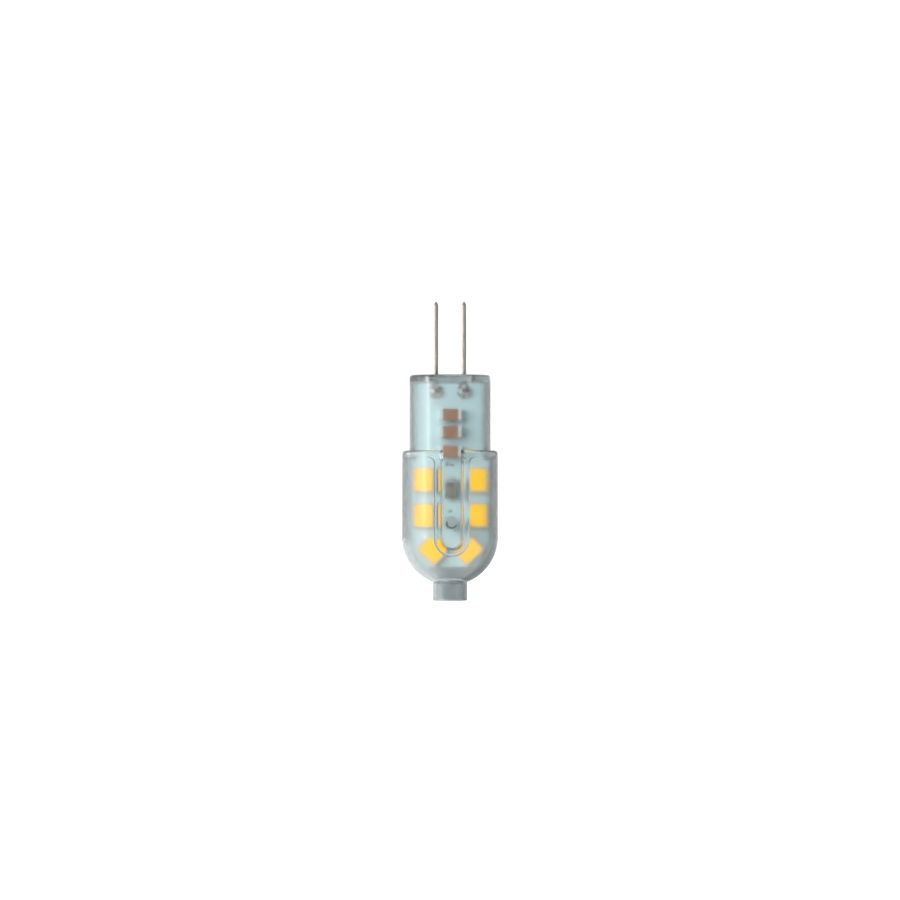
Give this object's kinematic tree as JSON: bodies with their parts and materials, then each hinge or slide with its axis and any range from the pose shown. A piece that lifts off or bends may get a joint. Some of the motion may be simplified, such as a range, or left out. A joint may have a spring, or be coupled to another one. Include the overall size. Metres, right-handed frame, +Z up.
{
  "type": "led capsule bulb",
  "caption": "Two-pin low-voltage LED capsule bulb: clear stepped shell with a domed end and nub around an upright board of LEDs.",
  "frame": {"origin": "centre of the flat open end of the nub, at the bottom of the part", "axes": "+Z up along the bulb, from the nub to the contact pins; the board stands in the XZ plane, the pins are side by side along X, and the front, with the three capacitors, faces -Y"},
  "size_m": [0.0136, 0.013, 0.0427],
  "materials": {
    "clear_shell": "clear moulded polycarbonate, smooth and glossy, faint cool tint",
    "board": "white solder mask over glass-fibre board",
    "pin_metal": "straight drawn wire, nickel plated",
    "solder": "smooth bright solder",
    "led_frame": "moulded white package, warmed by the fill",
    "led_phosphor": "yellow silicone fill, unlit",
    "tinned_copper": "tinned metal, satin",
    "capacitor_ceramic": "fired brown ceramic, matt",
    "black_epoxy": "moulded black epoxy, fine matt",
    "ferrite": "pressed dark grey ferrite, matt",
    "resistor_ceramic": "dark glazed film on ceramic"
  },
  "bodies": {
    "root": {"capacitor_body_1": "capacitor_ceramic", "capacitor_body_2": "capacitor_ceramic", "capacitor_body_3": "capacitor_ceramic", "capacitor_caps_1": "tinned_copper", "capacitor_caps_2": "tinned_copper", "capacitor_caps_3": "tinned_copper", "circuit_board": "board", "contact_pin_left": "pin_metal", "contact_pin_right": "pin_metal", "diode_body": "black_epoxy", "diode_leads": "tinned_copper", "driver_body": "black_epoxy", "driver_leads": "tinned_copper", "inductor_body": "ferrite", "inductor_terminals": "tinned_copper", "led_frame_back_1": "led_frame", "led_frame_back_2": "led_frame", "led_frame_back_3": "led_frame", "led_frame_back_4": "led_frame", "led_frame_back_5": "led_frame", "led_frame_back_6": "led_frame", "led_frame_front_1": "led_frame", "led_frame_front_2": "led_frame", "led_frame_front_3": "led_frame", "led_frame_front_4": "led_frame", "led_frame_front_5": "led_frame", "led_frame_front_6": "led_frame", "led_phosphor_back_1": "led_phosphor", "led_phosphor_back_2": "led_phosphor", "led_phosphor_back_3": "led_phosphor", "led_phosphor_back_4": "led_phosphor", "led_phosphor_back_5": "led_phosphor", "led_phosphor_back_6": "led_phosphor", "led_phosphor_front_1": "led_phosphor", "led_phosphor_front_2": "led_phosphor", "led_phosphor_front_3": "led_phosphor", "led_phosphor_front_4": "led_phosphor", "led_phosphor_front_5": "led_phosphor", "led_phosphor_front_6": "led_phosphor", "led_terminals_back_1": "tinned_copper", "led_terminals_back_2": "tinned_copper", "led_terminals_back_3": "tinned_copper", "led_terminals_back_4": "tinned_copper", "led_terminals_back_5": "tinned_copper", "led_terminals_back_6": "tinned_copper", "led_terminals_front_1": "tinned_copper", "led_terminals_front_2": "tinned_copper", "led_terminals_front_3": "tinned_copper", "led_terminals_front_4": "tinned_copper", "led_terminals_front_5": "tinned_copper", "led_terminals_front_6": "tinned_copper", "rectifier_body": "black_epoxy", "rectifier_leads": "tinned_copper", "resistor_body": "resistor_ceramic", "resistor_ends": "tinned_copper", "shell_back": "clear_shell", "shell_front": "clear_shell", "solder_joint_left": "solder", "solder_joint_right": "solder"}
  },
  "joints": []
}
